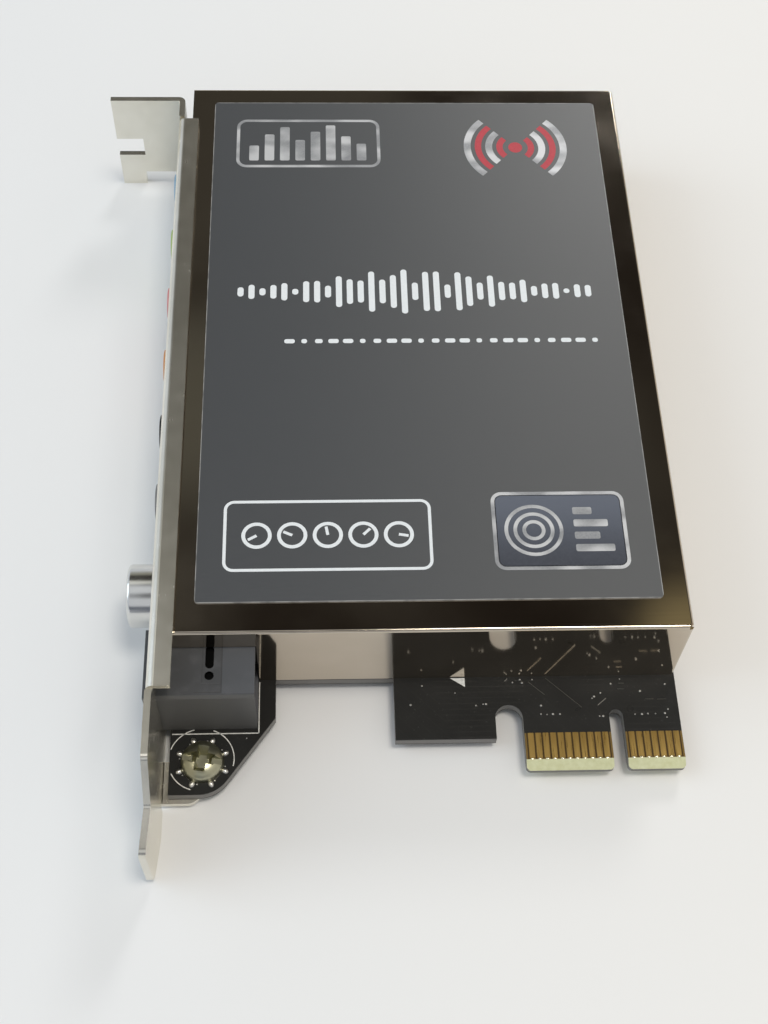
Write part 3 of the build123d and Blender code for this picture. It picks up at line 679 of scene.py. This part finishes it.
# Bracket screws: cold-headed steel with a smooth domed head, plated in yellowish nickel.
# The head has a long slot across and a deeper cross recess in its middle.
# They go through the board into the lugs of the bracket.
screw_finish = plated(
    "screw_nickel", dark=(0.36, 0.35, 0.245), light=(0.48, 0.47, 0.35), pattern=(0.0009, 3.0),
    roughness=(0.25, 0.14), bump=(0.08, 0.00004))
upper_screw_y = 92.3
head_radius = 2.85
head_height = 1.9
head_steps = 18
head_rounds = 72
side_fullness = 0.85
top_fullness = 0.8
shank_radius = 1.45
shank_end = 0.00027
recess_turn = -9
cut_above = 0.3
foot_width = 0.6
wings = ((0, 6.4, 1.3, 0.9, 0.9), (0, 4.2, 1.6, 1.6, 0.4), (90, 4.4, 1.6, 1.6, 0.4))


def draw_screw(bm, y):
    middle = Vector((across(screw_x), along(y), 0))
    section = []
    for step in range(head_steps + 1):
        turn = math.radians(90 / head_steps * step)
        reach = head_radius * math.sin(turn) ** side_fullness
        rise = head_height * max(math.cos(turn), 0) ** top_fullness
        section.append((reach / 1000, board_face + rise / 1000))
    section += [(shank_radius / 1000, board_face), (shank_radius / 1000, shank_end), (0, shank_end)]
    points = [middle + Vector((reach, 0, height)) for reach, height in section]
    add_turned(bm, points, middle, (0, 0, 1), head_rounds)


def draw_recess(bm, y, turn, length, width, depth, foot):
    """One cut in a head: a turned bar from over the dome down to a floor, narrowed by the foot's share."""
    wing = bmesh.ops.create_cube(bm, size=1)
    floor = [corner for corner in wing["verts"] if corner.co.z < 0]
    bmesh.ops.scale(bm, vec=(foot, foot_width, 1), verts=floor)
    height = depth + cut_above
    middle = head_height + cut_above - height / 2
    spot = Matrix.Translation((across(screw_x), along(y), board_face + middle / 1000))
    size = Matrix.Diagonal((length / 1000, width / 1000, height / 1000, 1))
    spin = Matrix.Rotation(math.radians(recess_turn + turn), 4, "Z")
    bmesh.ops.transform(bm, verts=wing["verts"], matrix=spot @ spin @ size)
    bmesh.ops.recalc_face_normals(bm, faces=bm.faces)


def cut_recess(screw, y):
    """Takes the slot and the cross out of a head, and leaves the plain mesh."""
    cutters = []
    for sizes in wings:
        bm = bmesh.new()
        draw_recess(bm, y, *sizes)
        wing = bpy.data.meshes.new("wing")
        bm.to_mesh(wing)
        bm.free()
        cutter = bpy.data.objects.new("wing", wing)
        bpy.context.scene.collection.objects.link(cutter)
        cutters.append(cutter)
        cut = screw.modifiers.new("recess", "BOOLEAN")
        cut.object = cutter
        cut.operation = "DIFFERENCE"
        cut.solver = "EXACT"
    bpy.context.view_layer.update()
    graph = bpy.context.evaluated_depsgraph_get()
    result = bpy.data.meshes.new_from_object(screw.evaluated_get(graph))
    screw.modifiers.clear()
    screw.data = result
    result.set_sharp_from_angle(angle=sharp_angle)
    for cutter in cutters:
        bpy.data.meshes.remove(cutter.data)


for name, y in (("lower_screw", screw_y), ("upper_screw", upper_screw_y)):
    screw = new_piece(name + "_head", lambda bm: draw_screw(bm, y), screw_finish)
    cut_recess(screw, y)
    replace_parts(screw, name)


# Shield cover: thin steel, folded and plated in polished black nickel that mirrors what is round it.
# Its tabs go down into slots of the board, and handling has left faint smears on it.
cover_finish, place = new_finish("black_nickel")
smear = band(grain(place, 0.014, 4.0), 0.4, 0.75)
hairs = grain(place, 0.00025, 2.0, stretch=(60, 1, 1))
close_finish(place, {
    "Base Color": tint(smear, (0.55, 0.485, 0.4, 1), (0.6, 0.535, 0.45, 1)), "Metallic": 1.0,
    "Roughness": 0.05 + 0.06 * smear + 0.03 * hairs})
dress(cover_finish, "shield_cover")


# Film on the cover: plastic sheet printed dark grey with a satin face; its colour is painted a little lighter
# to the right as a sheen of the light from that side.
# It is die-cut, with a pale cut edge all round, and held by its own adhesive.
film_face = 0.01754
film_middle = (across(35.955), along(49.375))
film_half = (0.030405, 0.045075)
pale_start = 0.00014
pale_full = 0.00006


def near_edge(value, middle, half):
    """1 along the film's two cut edges on one axis."""
    return band(abs(value - middle), half - pale_start, half - pale_full)


film_finish, place = new_finish("grey_film")
x, y = parts_of(place)[:2]
cut = 1 - band(abs(facing(place)[2]), 0.3, 0.6)
rim_x = near_edge(x, film_middle[0], film_half[0])
rim_y = near_edge(y, film_middle[1], film_half[1])
rim = 1 - (1 - rim_x) * (1 - rim_y) * (1 - cut)
chipped = band(grain(place, 0.0018, 3.0), 0.3, 0.6)
fibre = grain(place, 0.00022, 2.0, stretch=(6, 1, 1))
slow = grain(place, 0.03, 2.0)
# Painted sheen: the grey is made lighter towards the right, standing in for the light that falls from that
# side.
painted_sheen_to_right = band(x, film_middle[0] - film_half[0], film_middle[0] + film_half[0] * 1.2)
film = tint(painted_sheen_to_right, (0.049, 0.053, 0.059, 1), (0.097, 0.099, 0.101, 1))
film = tint(slow * 0.2, film, (0.06, 0.064, 0.07, 1))
close_finish(place, {
    "Base Color": tint(rim * (0.35 + 0.65 * chipped), film, (0.32, 0.32, 0.315, 1)),
    "Roughness": 0.34 + 0.1 * fibre, "Normal": relief(fibre, 0.25, 0.00002), "IOR": 1.62})
dress(film_finish, "cover_label")


# Print on the film: white, silver, red and blue inks, each pressed on as its own thin layer.
# White draws a sound wave, a row of dashes and a frame of dials, and silver and red draw ripples round a dot.
# Silver also draws framed level bars and, on a blue panel, rings and rows.
print_rise = 0.000012
full_ring = 359.99
circle_steps = 40
corner_steps = 8
wave_count = 33
wave_start = 10.4
wave_pitch = 1.6
wave_y = 55.5
wave_half = 0.45
wave_corner = 0.42
wave_middle = 16
wave_spread = 9.5
wave_floor = 0.25
wave_least = 2.2
wave_swing = 6.4
wave_turn = 1.13
wave_phase = 0.6
dash_count = 22
dash_start = 17.6
dash_pitch = 2.1
dash_low = 46.0
dash_high = 46.75
dash_corner = 0.3
dash_lengths = (1.5, 0.8, 1.1, 1.5)
dial_frame = (9.2, 9.0, 36.4, 19.4, 1.2, 0.42)
dial_count = 5
dial_start = 13.4
dial_pitch = 4.7
dial_y = 14.2
dial_radius = 1.75
dial_line = 0.5
hand_length = 1.3
hand_line = 0.4
hand_start = 210
hand_step = 55
level_frame = (9.4, 80.6, 31.4, 90.4, 1.4, 0.5)
levels = (3.2, 5.6, 7.2, 4.4, 6.2, 7.6, 5.2, 3.6)
level_start = 11.9
level_pitch = 2.4
level_low = 81.8
level_half = 0.75
level_corner = 0.25
ripple_x = 53.0
ripple_y = 84.6
ripple_starts = (-48, 132)
ripple_sweep = 96
ripple_steps = 28
silver_ripples = (4.2, 7.6)
silver_line = 1.1
red_ripples = (2.5, 5.9)
red_line = 1.0
dot_radius = 0.0011
panel_frame = (45.0, 8.9, 62.4, 20.3, 1.2, 0.6)
panel_sheet = (45.2, 9.1, 62.2, 20.1, 1.0)
panel_fade = (9.0, 20.0)
rings_x = 50.2
rings_y = 14.6
rings_radii = (1.3, 2.5, 3.7)
rings_line = 0.5
row_x = 55.6
row_low = 11.3
row_pitch = 1.9
row_height = 1.1
row_corner = 0.25
row_lengths = (5.2, 3.4, 4.6, 2.6)


def add_panel(bm, x0, y0, x1, y1, corner, low, rise):
    """A flat sheet with rounded corners."""
    middle = Matrix.Translation((across((x0 + x1) / 2), along((y0 + y1) / 2), low))
    size = Matrix.Diagonal(((x1 - x0) / 1000, (y1 - y0) / 1000, 1, 1))
    sheet = bmesh.ops.create_grid(bm, x_segments=1, y_segments=1, size=0.5, matrix=middle @ size)
    rounded = bmesh.ops.bevel(
        bm, geom=sheet["verts"], offset=corner / 1000, segments=5, profile=0.5, affect="VERTICES",
        material=-1)
    raise_faces(bm, rounded["verts"][0].link_faces[:], (0, 0, rise))


def add_frame(bm, x0, y0, x1, y1, corner, width, low, rise):
    """A line round a panel, with rounded corners."""
    for y in (y0, y1):
        add_bar(bm, x0 + corner, y, x1 - corner, y, width, low, rise)
    for x in (x0, x1):
        add_bar(bm, x, y0 + corner, x, y1 - corner, width, low, rise)
    left, right, near, far = x0 + corner, x1 - corner, y0 + corner, y1 - corner
    for x, y, start in ((right, far, 0), (left, far, 90), (left, near, 180), (right, near, 270)):
        add_arc(bm, x, y, corner, width, start, start + 90, low, rise, corner_steps)


def add_ripples(bm, radii, width):
    """Arcs on both sides of the dot."""
    for radius in radii:
        for start in ripple_starts:
            end = start + ripple_sweep
            add_arc(
                bm, ripple_x, ripple_y, radius, width, start, end, film_face, print_rise, ripple_steps)


def inked(name, dark, light, roughness):
    """A plain ink with a fine grain."""
    finish, place = new_finish(name)
    fine = grain(place, 0.0003, 2.0)
    close_finish(place, {
        "Base Color": tint(fine, (*dark, 1), (*light, 1)), "Roughness": roughness + 0.1 * fine,
        "Normal": relief(fine, 0.2, 0.00001)})
    return finish


def draw_white_print(bm):
    for number in range(wave_count):
        swell = wave_floor + (1 - wave_floor) * math.exp(-(((number - wave_middle) / wave_spread) ** 2))
        half = swell * (wave_least + wave_swing * abs(math.sin(wave_turn * number + wave_phase))) / 2
        x = wave_start + wave_pitch * number
        sides = (x - wave_half, wave_y - half, x + wave_half, wave_y + half)
        add_panel(bm, *sides, wave_corner, film_face, print_rise)
    for number in range(dash_count):
        half = dash_lengths[number % len(dash_lengths)] / 2
        x = dash_start + dash_pitch * number
        add_panel(bm, x - half, dash_low, x + half, dash_high, dash_corner, film_face, print_rise)
    add_frame(bm, *dial_frame, film_face, print_rise)
    for number in range(dial_count):
        x = dial_start + dial_pitch * number
        add_arc(
            bm, x, dial_y, dial_radius, dial_line, 0, full_ring, film_face, print_rise, circle_steps)
        turn = math.radians(hand_start - hand_step * number)
        tip_x = x + hand_length * math.cos(turn)
        tip_y = dial_y + hand_length * math.sin(turn)
        add_bar(bm, x, dial_y, tip_x, tip_y, hand_line, film_face, print_rise)


def draw_silver_print(bm):
    add_frame(bm, *level_frame, film_face, print_rise)
    for number, level in enumerate(levels):
        x = level_start + level_pitch * number
        sides = (x - level_half, level_low, x + level_half, level_low + level)
        add_panel(bm, *sides, level_corner, film_face, print_rise)
    add_ripples(bm, silver_ripples, silver_line)
    add_frame(bm, *panel_frame, film_face, print_rise)
    on_panel = film_face + print_rise
    for radius in rings_radii:
        add_arc(
            bm, rings_x, rings_y, radius, rings_line, 0, full_ring, on_panel, print_rise, circle_steps)
    for number, length in enumerate(row_lengths):
        low = row_low + row_pitch * number
        sides = (row_x, low, row_x + length, low + row_height)
        add_panel(bm, *sides, row_corner, on_panel, print_rise)


def draw_red_print(bm):
    add_ripples(bm, red_ripples, red_line)
    bmesh.ops.create_cone(
        bm, cap_ends=True, segments=32, radius1=dot_radius, radius2=dot_radius, depth=print_rise,
        matrix=Matrix.Translation((across(ripple_x), along(ripple_y), film_face + print_rise / 2)))


def draw_blue_print(bm):
    add_panel(bm, *panel_sheet, film_face, print_rise)


white_ink = inked("white_film_ink", (0.7, 0.74, 0.77), (0.8, 0.83, 0.85), 0.4)
red_ink = inked("red_film_ink", (0.4, 0.03, 0.045), (0.52, 0.05, 0.07), 0.4)
silver_ink, place = new_finish("silver_film_ink")
flake = grain(place, 0.00025, 2.0)
sweep = grain(place, 0.006, 1.0, stretch=(1, 0.5, 1))
silver = tint(band(sweep, 0.35, 0.65), (0.24, 0.25, 0.27, 1), (0.62, 0.63, 0.65, 1))
close_finish(place, {
    "Base Color": tint(flake * 0.3, silver, (0.8, 0.8, 0.8, 1)), "Metallic": 0.4,
    "Roughness": 0.34 + 0.12 * flake})
blue_ink, place = new_finish("blue_film_ink")
fade = band(parts_of(place)[1], along(panel_fade[0]), along(panel_fade[1]))
flake = grain(place, 0.0003, 2.0)
shaded = tint(fade, (0.03, 0.035, 0.05, 1), (0.1, 0.115, 0.15, 1))
close_finish(place, {
    "Base Color": tint(flake * 0.25, shaded, (0.13, 0.14, 0.17, 1)), "Roughness": 0.36 + 0.1 * flake})
new_piece("white_print", draw_white_print, white_ink)
new_piece("blue_print", draw_blue_print, blue_ink)
new_piece("silver_print", draw_silver_print, silver_ink)
new_piece("red_print", draw_red_print, red_ink)


# Table: a plain white sheet that the card lies on, wide enough to fill every view.
# It is matt, with faint clouds; its colour is painted a little cooler at the left of the card and warmer at
# the right, standing in for the cool light from the left and the warm light from the right.
table_width = 12
painted_cool_light_until = -0.07
painted_warm_light_from = 0.08
bpy.ops.mesh.primitive_plane_add(size=table_width)
table = bpy.context.object
table.name = "table"
table_finish, place = new_finish("white_table")
cloud = grain(place, 0.08, 3.0)
painted_light_side = band(parts_of(place)[0], painted_cool_light_until, painted_warm_light_from)
painted_cool_light = tint(cloud, (0.78, 0.795, 0.815, 1), (0.8, 0.81, 0.825, 1))
painted_warm_light = tint(cloud, (0.82, 0.812, 0.8, 1), (0.84, 0.832, 0.82, 1))
close_finish(place, {"Base Color": tint(painted_light_side, painted_cool_light, painted_warm_light), "Roughness": 0.55 + 0.1 * cloud})
table.data.materials.append(table_finish)


# Studio: a pale tent, cool at the left and warm at the right, with a dark room in its gap high behind.
# It is dim low in front and over the camera, so that the bright metal shows dark bands beside pale ones.
# A warm lamp hangs overhead, a broad cool one fills from the left, and a small one stands low behind.
def add_lamp(name, place, size, power, colour):
    """A flat lamp that faces the card."""
    data = bpy.data.lights.new(name, "AREA")
    data.shape = "RECTANGLE"
    data.size, data.size_y = size
    data.energy = power
    data.color = colour
    lamp = bpy.data.objects.new(name, data)
    lamp.location = place
    lamp.rotation_euler = (-Vector(place)).to_track_quat("-Z", "Y").to_euler()
    bpy.context.scene.collection.objects.link(lamp)


add_lamp("top_lamp", place=(0.6, -0.2, 3.0), size=(0.78, 0.78), power=32.5, colour=(1.0, 0.94, 0.84))
add_lamp("left_lamp", place=(-5.1, 0.3, 3.0), size=(3.6, 4.8), power=92.0, colour=(0.74, 0.89, 1.0))
add_lamp("back_lamp", place=(0.96, 2.64, 1.83), size=(0.66, 0.66), power=20.0, colour=(1.0, 0.99, 0.97))

world = bpy.data.worlds.new("studio")
bpy.context.scene.world = world
world.use_nodes = True
world.node_tree.nodes.clear()
sky = Wire(world.node_tree).make("ShaderNodeTexCoord", {}, {}, "Generated")
gap_spot = (0.12, 0.66, 0.742)
camera_spot = (0.0, -0.45, 0.893)
room_glows = (
    ((-0.09, 0.574, 0.814), 0.9965, 0.9999, (0.13, 0.13, 0.112, 1)),
    ((0.24, 0.43, 0.87), 0.9989, 0.99995, (0.4, 0.34, 0.19, 1)),
    ((-0.3, 0.36, 0.884), 0.979, 0.998, (1.0, 1.0, 0.92, 1)))


def towards(spot):
    """How near a direction of the sky is to a spot on it, 1 at the spot."""
    return sky.make("ShaderNodeVectorMath", {"operation": "DOT_PRODUCT"}, {0: sky, 1: spot}, "Value")


x, y, z = parts_of(sky)
room = tint(band(grain(sky, 0.16, 1.0), 0.42, 0.7), (0.022, 0.018, 0.015, 1), (0.07, 0.066, 0.057, 1))
room = tint(1 - band(z, 0.5, 0.66), room, (0.3, 0.29, 0.235, 1))
for spot, edge, core, glow in room_glows:
    room = tint(band(towards(spot), edge, core), room, glow)
tent = tint(band(x, -0.6, 0.6), (0.67, 0.71, 0.77, 1), (0.76, 0.735, 0.69, 1))
ahead = within(x, -0.2, -0.04, 0.05) * band(0 - y, 0.5, 0.7)
beside = band(z, 0.15, 0.25) * band(0 - y, 0.7, 0.86)
front = (1 - (1 - ahead) * (1 - beside)) * (1 - band(z, 0.34, 0.46))
tent = tint(front, tent, (0.15, 0.165, 0.2, 1))
tent = tint(band(towards(camera_spot), 0.96, 0.985), tent, (0.09, 0.09, 0.09, 1))
shade = tint(band(towards(gap_spot), 0.72, 0.925) * band(z, 0.12, 0.4), tent, room)
light = sky.make("ShaderNodeBackground", {}, {"Color": shade, "Strength": 0.92})
sky.make("ShaderNodeOutputWorld", {}, {"Surface": light})


# Camera: it hangs over the near end, a little left of the middle, and looks down the length of the card.
# Its place, turn and lens are those from which the card's known sizes fit the view.
camera_x = 22.54
camera_y = -82.53
camera_z = 0.18391
camera_turn = (31.09, -1.68, -1.66)
camera_lens = 51.16
camera_sensor = 36
camera_data = bpy.data.cameras.new("camera")
camera_data.sensor_width = camera_sensor
camera_data.lens = camera_lens
camera = bpy.data.objects.new("camera", camera_data)
camera.location = (across(camera_x), along(camera_y), camera_z)
camera.rotation_euler = [math.radians(turn) for turn in camera_turn]
bpy.context.scene.collection.objects.link(camera)
bpy.context.scene.camera = camera
bpy.context.scene.view_settings.view_transform = "Standard"
